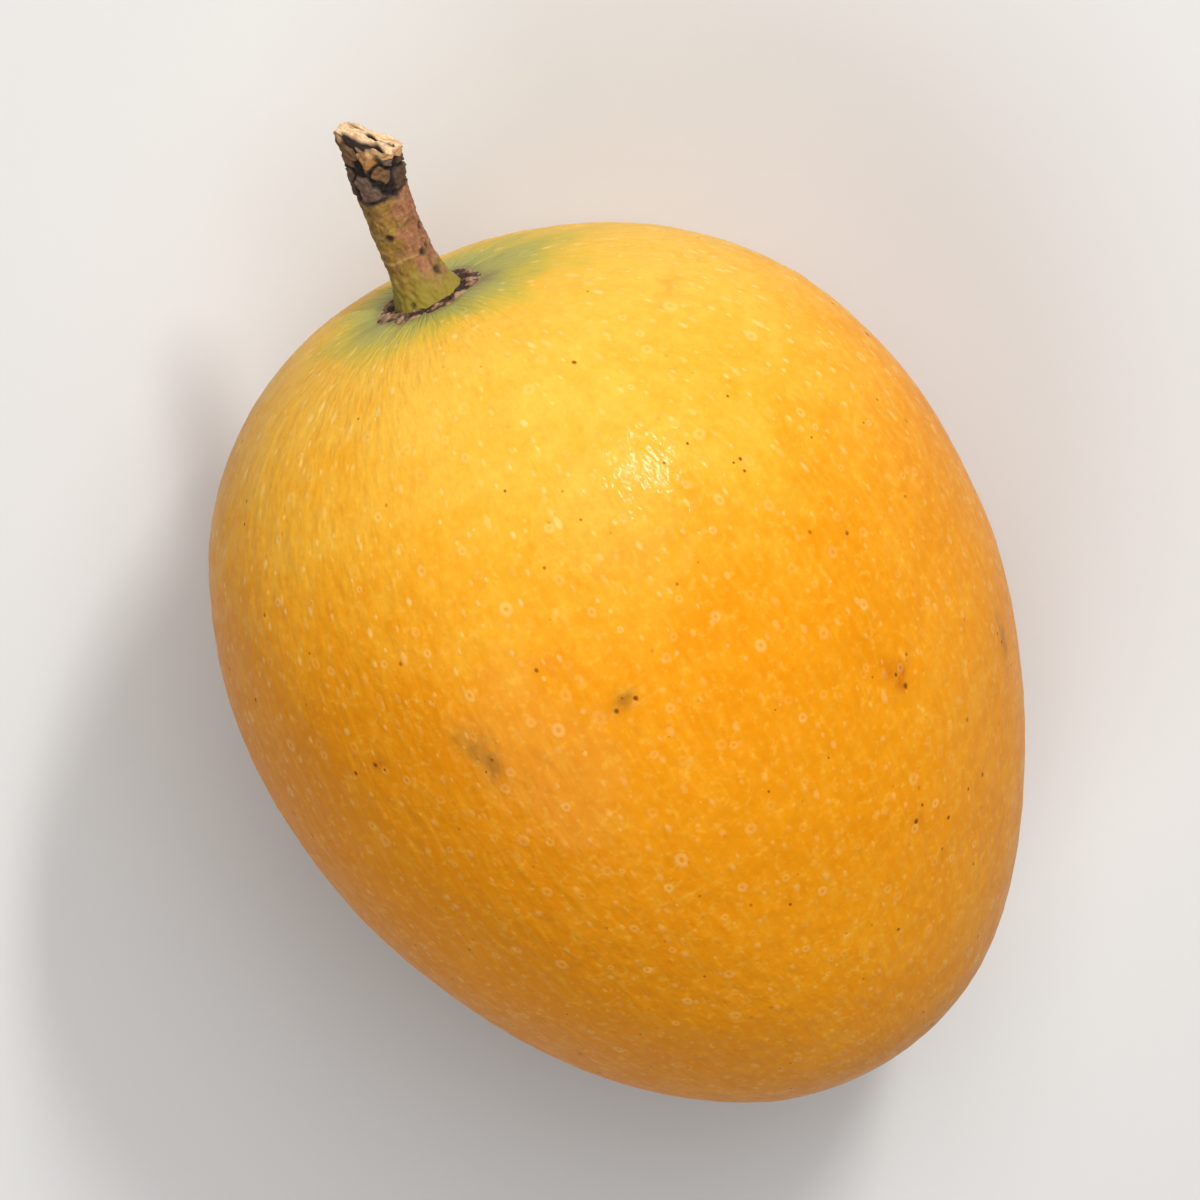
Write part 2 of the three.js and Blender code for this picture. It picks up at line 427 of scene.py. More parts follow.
def make_caps(name, places, radius, stretch, relief, pale, dark, sectors, shares):
    """Small closed lenses on the skin, one for each place, stretched along the fruit. A lens is rings
    of points at shares of its radius, lifted by relief(share); relief, pale and dark are functions of
    the share, the last two times each lens's own strength. Its normals are the skin's, leant outwards
    by the slope of the relief."""
    polar, around, strength = places
    count, rings = len(polar), len(shares)
    down, beside = fruit_slopes(polar, around)
    share = np.concatenate([[0], np.repeat(shares, sectors), [0]])
    turn = np.concatenate([[0], np.tile(np.arange(sectors) * TURN / sectors, rings), [0]])
    down_radius = radius * stretch / np.linalg.norm(down, axis=-1)
    beside_radius = radius / np.linalg.norm(beside, axis=-1)
    polar = polar[:, None] + down_radius[:, None] * share * np.cos(turn)
    around = around[:, None] + beside_radius[:, None] * share * np.sin(turn)
    share = np.broadcast_to(share, polar.shape)
    tall = np.minimum(1, radius[:, None] / FULL_HEIGHT_RADIUS)
    lift = relief(share) * tall
    lift[:, -1] = -CAP_ROOT
    form = skin_at(polar, around, lift)

    nudge = 0.02
    slope = (relief(share + nudge) - relief(share - nudge)) / (2 * nudge) * tall / radius[:, None]
    slope *= share > 0
    outwards = np.cos(turn)[:, None] * unit(down)[:, None, :]
    outwards = outwards + np.sin(turn)[:, None] * unit(beside)[:, None, :]
    normal = unit(skin_normal(polar, around) - slope[..., None] * outwards)

    values = skin_values(polar, around, form)
    values["pale"] = pale(share) * strength[:, None]
    values["dark"] = dark(share) * strength[:, None]
    first = (np.arange(count) * (rings * sectors + 2))[:, None, None]
    faces = [(first + f).reshape(-1, f.shape[1]) for f in barrel_faces(rings, sectors)]
    points = rest_flat(lie_down(form)).reshape(-1, 3)
    caps = new_piece(name, points, faces, flat_values(values))
    caps.data.normals_split_custom_set_from_vertices(tilt(normal).reshape(-1, 3).tolist())
    return caps


def spread(count, seed, low, high, crowd, loose):
    """Places spread evenly over the fruit by turning a golden angle from one to the next, closer
    together towards the stalk by the power crowd, and each pushed a little off its place. Kept are
    those with polar angles from low to high."""
    rng = np.random.default_rng(seed)
    order = (np.arange(count) + 0.5) / count
    polar = np.arccos(1 - 2 * order**crowd) + rng.normal(0, loose, count)
    around = np.arange(count) * GOLDEN_ANGLE + rng.normal(0, loose, count) / np.sin(polar)
    kept = (polar > low) & (polar < high)
    return polar[kept], around[kept] % TURN, rng


def uneven_radii(rng, count, middle, variation, least, most):
    """Radii in millimetres scattered round a middle one by a power of e, between two limits."""
    return np.clip(middle * np.exp(variation * rng.normal(size=count)), least, most)


def uneven_strengths(rng, count, least, gain, power):
    """Strengths from the least up; the higher the power, the fewer are strong."""
    return least + gain * rng.uniform(0, 1, count) ** power


def nothing(share):
    """No colour of this kind anywhere on a cap."""
    return 0 * share


def make_pale_dots():
    """Pale pores: thousands of small soft lenses, drawn out into dashes towards the stalk. The
    relief is a bell over the share of the radius."""
    polar, around, rng = spread(count=4000, seed=5, low=0.2, high=3.06, crowd=1.12, loose=0.02)
    count = len(polar)
    past_shoulders = smooth_step(0.7, 1.5, polar)
    radius = uneven_radii(rng, count, middle=0.37, variation=0.28, least=0.18, most=0.62)
    dashes = 1.3 * np.exp(-polar / 0.7) + 0.7
    stretch = 1 + dashes * rng.uniform(0.1, 1.2, count)
    strength = uneven_strengths(rng, count, least=0.16, gain=0.75, power=1.6)
    strength *= 1 - 0.58 * past_shoulders
    radius *= 1 + 0.12 * past_shoulders
    return make_caps(
        "pale_dots", (polar, around, strength), radius, stretch,
        relief=lambda share: 0.026 * bell(share, 0.52) - 0.008,
        pale=lambda share: smooth_step(0.98, 0.0, share),
        dark=nothing,
        sectors=8, shares=[0.3, 0.6, 0.94],
    )


def make_pore_rings():
    """Larger pores: a pale raised ring round a fine orange point, over the body of the fruit. The
    relief is a bell round half the radius."""
    polar, around, rng = spread(count=760, seed=6, low=0.5, high=3.0, crowd=1.0, loose=0.045)
    count = len(polar)
    radius = uneven_radii(rng, count, middle=0.62, variation=0.18, least=0.40, most=0.86)
    stretch = rng.uniform(0.95, 1.35, count)
    strength = uneven_strengths(rng, count, least=0.12, gain=0.38, power=2.0)
    strength *= 1 - 0.25 * smooth_step(1.2, 2.0, polar)
    return make_caps(
        "pore_rings", (polar, around, strength), radius, stretch,
        relief=lambda share: 0.028 * bell(share - 0.5, 0.26) - 0.008,
        pale=lambda share: bell(share - 0.5, 0.3) * smooth_step(1.0, 0.7, share),
        dark=lambda share: 0.75 * smooth_step(0.30, 0.0, share),
        sectors=10, shares=[0.2, 0.45, 0.7, 0.96],
    )


def make_specks():
    """Brown specks: the noted ones at their places and a scatter of fine ones. The relief is a bell
    over the share of the radius."""
    polar, around, rng = spread(count=560, seed=7, low=0.3, high=3.0, crowd=0.9, loose=0.12)
    noted = np.array(NOTED_SPECKS)
    noted_strength = np.full(len(noted), 0.80)
    radius = uneven_radii(rng, len(polar), middle=0.28, variation=0.25, least=0.16, most=0.44)
    strength = uneven_strengths(rng, len(polar), least=0.16, gain=0.60, power=2.6)
    polar = np.concatenate([polar, np.radians(noted[:, 0])])
    around = np.concatenate([around, np.radians(noted[:, 1])])
    radius = np.concatenate([radius, noted[:, 2]])
    strength = np.concatenate([strength, noted_strength])
    stretch = np.full(len(polar), 1.15)
    return make_caps(
        "brown_specks", (polar, around, strength), radius, stretch,
        relief=lambda share: 0.02 * bell(share, 0.6) - 0.006,
        pale=nothing,
        dark=lambda share: smooth_step(0.95, 0.15, share),
        sectors=9, shares=[0.3, 0.6, 0.92],
    )


# ---------------------------------------------------------------- stalk


# Pits in the bark: share of the length, angle around (degrees), radius (mm), strength
BARK_PITS = [
    (0.455, 110, 0.33, 1.0), (0.435, 12, 0.34, 1.0), (0.31, 47, 0.34, 1.0), (0.322, 25, 0.28, 0.8),
    (0.169, 30, 0.42, 0.9), (0.497, 56, 0.26, 0.35), (0.591, 61, 0.30, 0.3), (0.06, 116, 0.24, 0.6),
    (0.60, 150, 0.22, 0.4), (0.30, 200, 0.30, 0.9), (0.42, 250, 0.30, 1.0), (0.56, 300, 0.30, 0.9),
    (0.26, 325, 0.26, 0.8), (0.62, 225, 0.26, 0.9), (0.14, 275, 0.30, 0.8), (0.50, 345, 0.2, 0.6),
]

# Ring scars: share of the length, height (mm), and how far round they run, in degrees from and to
RING_SCARS = [
    (0.322, 0.10, -360, 360), (0.385, 0.09, 125, 180), (0.21, 0.03, -360, 360),
    (0.47, 0.04, 110, 180), (0.56, 0.035, -360, 360), (0.64, 0.05, 20, 80),
]

# Scale scars at the knuckle: share of the length, angle around (degrees), tone from black to tan
SCALE_SCARS = [
    (0.765, 122, 0.55), (0.80, 34, 0.22), (0.83, 78, 0.80), (0.91, 100, 0.95), (0.92, 60, 0.45),
    (0.92, 150, 0.80), (0.90, 20, 0.2), (0.79, 175, 0.35), (0.86, 200, 0.75), (0.78, 340, 0.7),
    (0.88, 320, 0.2), (0.77, 230, 0.85), (0.85, 262, 0.3), (0.77, 290, 0.9),
]
SCALE_STRETCH = 1.15
SCALE_RADIUS = 2.65        # distance of the scars' middles from the stalk's axis

# Gaps torn into the broken end: across and up of each end (mm), width, depth
TORN_GAPS = [
    (0.0, -0.6, 1.4, 0.8, 0.28, 1.6),
    (-1.7, 1.7, 0.4, 2.1, 0.30, 1.5),
    (-1.0, -1.9, 0.3, -1.6, 0.2, 0.7),
]


def stalk_radius(share, around):
    """Radius of the bare stalk: a flared foot, a slim middle, a knuckle, and low winding ridges."""
    flare_share = (share * STALK_LENGTH / FLARE_HEIGHT) ** FLARE_SHARPNESS
    flare = (STALK_FOOT - STALK_RADIUS) * np.exp(-flare_share)
    knuckle = KNUCKLE_RADIUS * bell(share - KNUCKLE_PLACE, KNUCKLE_REACH)
    ridges = RIDGE_HEIGHT * np.cos(5 * around + 4 * share)
    return STALK_RADIUS + flare + knuckle + ridges * np.minimum(1, 6 * share)


def ring_scars(share, around):
    """Height of the ring scars: bells over the length, each a little wavy, over its part of the way
    round."""
    degrees = np.degrees(around)
    rings = np.zeros(share.shape)
    for at, height, begin, end in RING_SCARS:
        wavy = at + 0.012 * np.sin(around + 9 * at) + 0.005 * np.sin(5 * around)
        runs = smooth_step(begin - RING_FADE, begin + RING_FADE, degrees)
        runs = runs * smooth_step(end + RING_FADE, end - RING_FADE, degrees)
        rings += runs * height * bell((share - wavy) * STALK_LENGTH, RING_WIDTH)
    return rings


def bark_pits(share, around, bare):
    """0 to 1: round pits with flat floors, as the exponent of minus the fourth power."""
    pits = np.zeros(share.shape)
    for at, angle, size, strength in BARK_PITS:
        beside = PIT_NARROWING * wrap(around - math.radians(angle)) * bare
        gap = np.hypot((share - at) * STALK_LENGTH, beside)
        pits = np.maximum(pits, strength * np.exp(-((gap / (PIT_SIZE * size)) ** 4)))
    return pits


def scale_scars(share, around, place):
    """The scarred knuckle: each point belongs to the nearest scar, and a crack runs where two are
    equally near and along the hem. Returns where the knuckle is, where it is cracked, and its tone."""
    scars = np.array(SCALE_SCARS)
    angle = np.radians(scars[:, 1])
    height = scars[:, 0] * STALK_LENGTH * SCALE_STRETCH
    middles = np.stack([SCALE_RADIUS * np.cos(angle), SCALE_RADIUS * np.sin(angle), height], -1)
    wander = 0.22 * np.stack([ripples(place, 1.4, seed) for seed in (43, 44, 45)], -1)
    gaps = (place * [1, 1, SCALE_STRETCH] + wander)[..., None, :] - middles
    gaps = np.linalg.norm(gaps, axis=-1)
    nearest = np.sort(gaps, -1)
    start = 0.695 - 0.035 * np.cos(around - 2.1) + 0.012 * ripples(place, 1.8, 46)
    half_edge = 0.012
    knuckle = smooth_step(start - half_edge, start + half_edge, share)
    hem = bell((share - start - half_edge) * STALK_LENGTH, 0.3)
    hem *= np.maximum(bell(wrap(around - 1.9), 0.75), 0.5)
    crack = np.maximum(smooth_step(0.75, 0.3, nearest[..., 1] - nearest[..., 0]), hem)
    crack *= knuckle * smooth_step(0.96, 0.90, share)
    return knuckle, crack, scars[gaps.argmin(-1), 2]


def broken_end(x, z):
    """Height of the broken end, and how deeply it is torn: a steep slant with a raised flap, a sunk
    lip and a lower tip, splinters as folded sines, and gaps as bells round short lines."""
    slant = -BREAK_SLANT * x + 0.06 * z
    flap = 0.25 * smooth_step(0.5, -0.1, 0.9 * z + 0.45 * x - 0.7) * smooth_step(1.4, -1.0, x)
    lip = 0.7 * smooth_step(0.0, 0.35, z - 1.8 + 0.2 * np.sin(2.1 * x))
    tip = 0.6 * smooth_step(-1.4, -2.6, x)
    splinters = 1 - np.abs(np.sin(0.9 * x + 1.1 * z + 0.5 + 0.5 * np.sin(1.3 * x - 0.4 * z)))
    fine = 1 - np.abs(np.sin(3.9 * x + 2.3 * z + np.sin(1.7 * z)))
    torn = np.zeros(x.shape)
    for x0, z0, x1, z1, width, depth in TORN_GAPS:
        run = np.array([x1 - x0, z1 - z0])
        place = np.clip(((x - x0) * run[0] + (z - z0) * run[1]) / (run @ run), 0, 1)
        bow = 0.12 * np.sin(5 * place)
        gap = np.hypot(x - x0 - place * run[0] + bow, z - z0 - place * run[1] - bow)
        torn = np.maximum(torn, depth * bell(gap, width))
    return slant + flap - lip - tip + 0.35 * (splinters - 0.4) + 0.14 * (fine - 0.4) - torn, torn


def torn_wood(share, around, on_side, place, torn):
    """0 to 1: where bare wood shows, over the end and a ragged edge of the side, and where painted
    shade darkens its crevices, which are the torn gaps and a groove along the edge."""
    lip = 0.925 + 0.03 * np.cos(around - 2.4)
    ragged_lip = lip + 0.016 * ripples(place, 0.9, 48)
    wood = np.where(on_side, smooth_step(ragged_lip, ragged_lip + 0.03, share), 1.0) * (share > 0.5)
    groove = bell((share - lip - 0.052) * STALK_LENGTH, 0.2)
    groove = groove * smooth_step(0.9, 0.3, np.abs(wrap(around - 2.2)))
    # Painted shade: the torn gaps and the groove along the edge are darkened as where shade falls.
    crevice_shade = np.clip(torn / 0.5, 0, 1) * (share > 0.97) + groove * on_side
    return wood, np.clip(crevice_shade, 0, 1)


def make_stalk():
    """The stalk on a grid of rows by angle: the side is its radius carried along a bent axis, and
    the end is the same rows drawn in to the axis over the broken height."""
    share = np.concatenate([[0, 0], np.linspace(0, 1, SIDE_ROWS), np.ones(END_ROWS)])[:, None]
    drawn_in = np.linspace(1, 0, END_ROWS + 1)[1:]
    inward = np.concatenate([[0, 0.6], np.ones(SIDE_ROWS), drawn_in])[:, None]
    around = (np.arange(STALK_COLUMNS) * TURN / STALK_COLUMNS)[None, :]
    share, inward, around = np.broadcast_arrays(share, inward, around)
    on_side = inward > 0.999
    bare = stalk_radius(share, around)
    place = np.stack([bare * np.cos(around), bare * np.sin(around), share * STALK_LENGTH], -1)

    bark = 0.06 * ripples(place * [1, 1, 0.6], 1.3, 41) + 0.045 * ripples(place, 0.6, 42)
    rings = ring_scars(share, around)
    pits = bark_pits(share, around, bare)
    knuckle, crack, tone = scale_scars(share, around, place)
    plates = knuckle * (0.08 - 0.32 * crack + 0.07 * ripples(place, 0.6, 47))
    radius = bare + (bark + rings - PIT_DEPTH * pits) * smooth_step(0.0, 0.05, share) + plates
    shreds = smooth_step(0.92, 1.0, share) * 0.16 * np.sin(7 * around + 2 * np.sin(3 * around))
    x = inward * (radius + shreds) * np.cos(around)
    z = inward * (radius + shreds) * np.sin(around)
    height, torn = broken_end(x, z)
    foot = skin_along(x, z) - FOOT_SUNK
    reach = share * (STALK_LENGTH + FOOT_SUNK) + height * share**BREAK_DEPTH
    lean = 2 * STALK_BEND * share / STALK_LENGTH
    form = np.stack([foot + reach - lean * x * share, x + STALK_BEND * share**2, z], -1)

    wood, crevice_shade = torn_wood(share, around, on_side, place, torn)
    values = {
        "share": share,
        "side": np.cos(around),
        "pit": pits,
        "ring": np.clip(rings / 0.1, 0, 1),
        "crack": crack,
        "tone": tone,
        "knuckle": knuckle,
        "wood": wood,
        "lip": wood * on_side,
        "crevice_shade": crevice_shade,
    }
    values = {key: barrel(value) for key, value in values.items()}
    faces = [f[:, ::-1] for f in barrel_faces(share.shape[0] - 2, STALK_COLUMNS)]
    stalk = new_piece("stalk_bark", barrel(lie_down(form)), faces, values)
    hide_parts("stalk")
    return stalk


# ---------------------------------------------------------------- calyx


def make_calyx():
    """The calyx crust: a lumpy ring whose section is a flat oval from the stalk's foot out to an
    uneven edge, a little longer on each side, sunk a little into the skin."""
    around = (np.arange(CALYX_COLUMNS) * TURN / CALYX_COLUMNS)[:, None]
    turn = (np.arange(CALYX_SECTION) * TURN / CALYX_SECTION)[None, :]
    around, turn = np.broadcast_arrays(around, turn)
    scallops = 0.16 * np.cos(5 * around + 0.7) + 0.12 * np.cos(9 * around) + 0.10 * np.cos(17 * around)
    right = 0.8 * bell(wrap(around - 0.36), 0.35)
    left = 0.7 * bell(wrap(around - 2.8), 0.4)
    edge = CALYX_OUTER + scallops + right + left
    middle, half = (CALYX_INNER + edge) / 2, (edge - CALYX_INNER) / 2
    reach = middle + half * np.cos(turn)
    across, up = reach * np.cos(around), reach * np.sin(around)
    bare = np.stack([across, up, 0.6 * np.sin(turn)], -1)
    lumps = 0.65 * ripples(bare, 1.7, 51) + 0.3 * ripples(bare, 0.7, 52)
    rise = CALYX_THICKNESS * np.maximum(np.sin(turn), 0) ** 0.6 * (1 + 0.75 * lumps)
    thin = 1 - 0.65 * smooth_step(4.3, 5.6, reach)
    sunk = 0.25 * np.minimum(np.sin(turn), 0) - 0.05
    form = np.stack([skin_along(across, up) + rise * thin + sunk, across, up], -1)
    at = np.arange(CALYX_COLUMNS * CALYX_SECTION).reshape(CALYX_COLUMNS, CALYX_SECTION)
    ahead, beside = np.roll(at, -1, 0), np.roll(at, -1, 1)
    quads = np.stack([at, ahead, np.roll(ahead, -1, 1), beside], -1).reshape(-1, 4)
    values = {
        "lump": np.clip(0.5 + 0.5 * lumps, 0, 1).ravel(),
        "rim": smooth_step(3.9, 4.9, reach).ravel(),
        "dark_side": (0.5 + 0.5 * np.cos(around - 0.5)).ravel(),
    }
    calyx = new_piece("calyx_crust", lie_down(form).reshape(-1, 3), [quads], values)
    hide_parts("calyx")
    return calyx


# ---------------------------------------------------------------- materials


# Colours of the skin, in linear light
# Lemon of the shoulders, partly real colour and partly a painted sheen: its blue is raised to paint the
# broad pale glow round the shine.
LEMON_AND_SHEEN = (0.858, 0.492, 0.062)
GOLD = (0.845, 0.385, 0.022)
ORANGE = (0.800, 0.290, 0.005)
AMBER = (0.740, 0.250, 0.002)
PALE_STREAK = (0.90, 0.52, 0.05)
DARK_GRIT = (0.64, 0.20, 0.004)
PALE_GRIT = (0.93, 0.56, 0.08)
GREEN_GOLD = (0.720, 0.480, 0.034)
YELLOW_GREEN = (0.560, 0.440, 0.056)
SAGE = (0.355, 0.360, 0.115)
BURNT_ORANGE = (0.52, 0.125, 0.003)
SMUDGE_BROWN = (0.310, 0.135, 0.014)
STAIN_BROWN = (0.200, 0.135, 0.070)
PORE_CREAM = (0.97, 0.70, 0.27)
RUST = (0.50, 0.16, 0.004)
SPECK_BROWN = (0.120, 0.042, 0.006)

# Colours of the stalk
OLIVE_BARK = (0.255, 0.145, 0.012)
PINK_BARK = (0.340, 0.135, 0.066)
FIBRE_BROWN = (0.110, 0.045, 0.018)
CRUMB_BROWN = (0.080, 0.034, 0.014)
CRUMB_TAN = (0.500, 0.300, 0.140)
FOOT_GREEN = (0.285, 0.220, 0.022)
RING_TAN = (0.500, 0.300, 0.110)
PIT_BLACK = (0.022, 0.010, 0.008)
SCALE_TONES = [
    (0.0, (0.028, 0.018, 0.016)),
    (0.22, (0.085, 0.045, 0.026)),
    (0.55, (0.150, 0.090, 0.062)),
    (0.82, (0.160, 0.075, 0.024)),
    (1.0, (0.430, 0.205, 0.065)),
]
SCALE_GRIME = (0.040, 0.020, 0.012)
CRACK_BLACK = (0.010, 0.006, 0.004)
CREAM_WOOD = (0.940, 0.700, 0.450)
TAN_WOOD = (0.700, 0.420, 0.190)
WOOD_FIBRE = (0.300, 0.130, 0.040)
WOOD_EDGE = (0.360, 0.155, 0.045)
# Painted shade in the torn gaps and the groove of the broken end.
CREVICE_SHADE_BLACK = (0.018, 0.008, 0.004)

# Colours of the calyx, from its hollows to its crumbs
CRUST_TONES = [
    (0.12, (0.042, 0.020, 0.014)),
    (0.38, (0.110, 0.052, 0.034)),
    (0.62, (0.230, 0.120, 0.066)),
    (0.95, (0.400, 0.240, 0.135)),
]


class Finish:
    """A material under construction: its node tree, its shader, and short calls for its nodes."""

    def __init__(self, name, **sockets):
        self.material = bpy.data.materials.new(name)
        self.material.use_nodes = True
        self.tree = self.material.node_tree
        self.shader = self.tree.nodes["Principled BSDF"]
        for socket, value in sockets.items():
            self.shader.inputs[socket.replace("_", " ")].default_value = value
        self.place = self.node("ShaderNodeTexCoord").outputs["Object"]

    def node(self, kind, **settings):
        """A new node of a kind, with its settings."""
        made = self.tree.nodes.new(kind)
        for key, value in settings.items():
            setattr(made, key, value)
        return made

    def join(self, source, socket):
        """Links an output to a socket, or sets the socket to a number or a colour."""
        if isinstance(source, (int, float)):
            socket.default_value = source
        elif isinstance(source, tuple):
            socket.default_value = (*source, 1.0) if len(source) == 3 and socket.type == "RGBA" else source
        else:
            self.tree.links.new(source, socket)

    def value(self, name):
        """A number that the mesh carries under a name."""
        return self.node("ShaderNodeAttribute", attribute_name=name).outputs["Fac"]

    def vector(self, name):
        """A vector that the mesh carries under a name."""
        return self.node("ShaderNodeAttribute", attribute_name=name).outputs["Vector"]

    def stretched(self, vector, scale):
        """The vector with each axis multiplied by its own scale."""
        mapping = self.node("ShaderNodeMapping")
        self.join(vector, mapping.inputs["Vector"])
        mapping.inputs["Scale"].default_value = scale
        return mapping.outputs["Vector"]

    def noise(self, size, detail=3.0, rough=0.5, vector=None):
        """Noise whose patches are about size metres across (or size units of the given vector)."""
        made = self.node("ShaderNodeTexNoise")
        self.join(vector or self.place, made.inputs["Vector"])
        made.inputs["Scale"].default_value = 1 / size
        made.inputs["Detail"].default_value = detail
        made.inputs["Roughness"].default_value = rough
        return made.outputs["Fac"]

    def math(self, operation, a, b):
        """Two numbers brought together by an operation."""
        made = self.node("ShaderNodeMath", operation=operation)
        self.join(a, made.inputs[0])
        self.join(b, made.inputs[1])
        return made.outputs[0]

    def times(self, a, b):
        """The product of two numbers."""
        return self.math("MULTIPLY", a, b)

    def ramp(self, value, low, high, to_low=0.0, to_high=1.0):
        """Value brought from low..high to to_low..to_high, smoothly and clamped."""
        made = self.node("ShaderNodeMapRange", interpolation_type="SMOOTHSTEP")
        self.join(value, made.inputs["Value"])
        for key, number in zip(("From Min", "From Max", "To Min", "To Max"), (low, high, to_low, to_high)):
            made.inputs[key].default_value = number
        return made.outputs["Result"]

    def mix(self, share, a, b):
        """Colour a with a share of colour b laid over it."""
        made = self.node("ShaderNodeMix", data_type="RGBA", blend_type="MIX")
        self.join(share, made.inputs["Factor"])
        self.join(a, made.inputs[6])
        self.join(b, made.inputs[7])
        return made.outputs[2]

    def colours(self, value, stops):
        """A colour ramp through (place, colour) stops."""
        made = self.node("ShaderNodeValToRGB")
        self.join(value, made.inputs["Fac"])
        ramp = made.color_ramp
        while len(ramp.elements) < len(stops):
            ramp.elements.new(0.5)
        for element, (at, colour) in zip(ramp.elements, stops):
            element.position = at
            element.color = (*colour, 1.0)
        return made.outputs["Color"]

    def bump(self, height, distance, strength):
        """A normal bent by a height, whose full range is a distance in metres."""
        made = self.node("ShaderNodeBump")
        made.inputs["Strength"].default_value = strength
        made.inputs["Distance"].default_value = distance
        self.join(height, made.inputs["Height"])
        return made.outputs["Normal"]

    def finish(self, colour, roughness, normal):
        """The finished material, its wax coat bent by the same normal as its base."""
        self.join(colour, self.shader.inputs["Base Color"])
        self.join(roughness, self.shader.inputs["Roughness"])
        self.join(normal, self.shader.inputs["Normal"])
        self.join(normal, self.shader.inputs["Coat Normal"])
        return self.material


def skin_finish():
    """Waxy ripe skin: lemon to amber by ripeness, mottled, streaked along the fruit, green at the
    stalk, with pale pores, brown specks, smudges and the stain under the calyx. The amber towards the
    left side is painted shade, and the lemon's raised blue is a painted sheen."""
    f = Finish("mango_skin", Specular_IOR_Level=0.05, Coat_Weight=0.15, Coat_Roughness=0.08, Coat_IOR=1.35)
    grain = f.vector("grain")
    streaks = f.noise(0.020, detail=2.0, rough=0.6, vector=f.stretched(grain, (1.0, 1.0, 0.45)))
    patches = f.noise(0.011, detail=3.0, rough=0.55)
    mottle = f.noise(0.0026, detail=3.0, rough=0.6)
    grit = f.noise(0.0009, detail=2.0, rough=0.6)

    # Ripeness carries painted shade towards the left side; the lemon stop carries a painted sheen.
    ripe = f.math("ADD", f.value("ripeness_and_shade"), f.ramp(patches, 0.25, 0.75, -0.08, 0.08))
    ripe = f.math("ADD", ripe, f.ramp(mottle, 0.25, 0.75, -0.11, 0.11))
    colour = f.colours(ripe, [(0.0, LEMON_AND_SHEEN), (0.40, GOLD), (0.72, ORANGE), (1.0, AMBER)])
    colour = f.mix(f.ramp(streaks, 0.4, 0.75, 0.0, 0.16), colour, PALE_STREAK)
    colour = f.mix(f.ramp(grit, 0.45, 0.75, 0.0, 0.13), colour, DARK_GRIT)
    colour = f.mix(f.ramp(grit, 0.48, 0.25, 0.0, 0.26), colour, PALE_GRIT)

    flush = f.times(f.value("flush"), f.ramp(streaks, 0.3, 0.7, 1.10, 0.80))
    green = f.colours(flush, [(0.20, GREEN_GOLD), (0.60, YELLOW_GREEN), (1.0, SAGE)])
    colour = f.mix(f.ramp(flush, 0.0, 0.75), colour, green)

    colour = f.mix(f.times(f.value("scuff"), 0.85), colour, BURNT_ORANGE)
    colour = f.mix(f.times(f.value("smudge"), 0.82), colour, SMUDGE_BROWN)
    stain = f.times(f.value("stain"), f.ramp(mottle, 0.35, 0.65, 0.45, 0.85))
    colour = f.mix(stain, colour, STAIN_BROWN)
    colour = f.mix(f.times(f.value("pale"), 0.68), colour, PORE_CREAM)
    speck = f.colours(f.value("dark"), [(0.25, RUST), (0.9, SPECK_BROWN)])
    colour = f.mix(f.ramp(f.value("dark"), 0.0, 0.55), colour, speck)

    waxy = f.ramp(mottle, 0.3, 0.7, 0.44, 0.54)
    roughness = f.math("SUBTRACT", waxy, f.times(f.value("pale"), 0.20))
    long_peel = f.noise(0.042, detail=2.0, rough=0.5, vector=f.stretched(grain, (1.0, 1.0, 1.5)))
    return f.finish(colour, roughness, f.bump(long_peel, distance=0.00019, strength=1.0))


def bark_finish():
    """Dry bark: pinkish tan on one side and olive on the other, a green foot, pale ring scars, dark pits,
    black-edged scale scars at the knuckle, and torn cream wood at the end, its crevices painted shade."""
    f = Finish("stalk_bark", IOR=1.4)
    fibres = f.noise(0.0007, detail=3.0, rough=0.6, vector=f.stretched(f.place, (1.0, 0.4, 1.0)))
    blotches = f.noise(0.0017, detail=4.0, rough=0.65)
    crumbs = f.noise(0.0004, detail=3.0, rough=0.7)
    side = f.math("ADD", f.value("side"), f.ramp(blotches, 0.2, 0.8, -0.9, 0.9))
    colour = f.mix(f.ramp(side, -0.5, 0.8), OLIVE_BARK, PINK_BARK)
    colour = f.mix(f.ramp(fibres, 0.35, 0.75, 0.0, 0.65), colour, FIBRE_BROWN)
    colour = f.mix(f.ramp(crumbs, 0.50, 0.75, 0.0, 0.50), colour, CRUMB_BROWN)
    colour = f.mix(f.ramp(crumbs, 0.50, 0.25, 0.0, 0.45), colour, CRUMB_TAN)
    foot = f.math("SUBTRACT", f.ramp(blotches, 0.2, 0.8, 0.30, 0.12), f.value("share"))
    colour = f.mix(f.ramp(foot, -0.06, 0.12, 0.0, 0.90), colour, FOOT_GREEN)
    colour = f.mix(f.times(f.value("ring"), 0.5), colour, RING_TAN)
    colour = f.mix(f.times(f.value("pit"), 0.95), colour, PIT_BLACK)

    plate = f.colours(f.value("tone"), SCALE_TONES)
    plate = f.mix(f.ramp(crumbs, 0.4, 0.7, 0.0, 0.55), plate, SCALE_GRIME)
    colour = f.mix(f.value("knuckle"), colour, plate)
    colour = f.mix(f.value("crack"), colour, CRACK_BLACK)

    wood = f.mix(f.ramp(crumbs, 0.3, 0.7), CREAM_WOOD, TAN_WOOD)
    wood = f.mix(f.ramp(fibres, 0.45, 0.7, 0.0, 0.55), wood, WOOD_FIBRE)
    wood = f.mix(f.times(f.value("lip"), 0.65), wood, WOOD_EDGE)
    colour = f.mix(f.value("wood"), colour, wood)
    # Painted shade in the crevices of the broken end.
    colour = f.mix(f.value("crevice_shade"), colour, CREVICE_SHADE_BLACK)
    roughness = f.ramp(blotches, 0.3, 0.7, 0.62, 0.86)
    return f.finish(colour, roughness, f.bump(crumbs, distance=0.0001, strength=0.8))


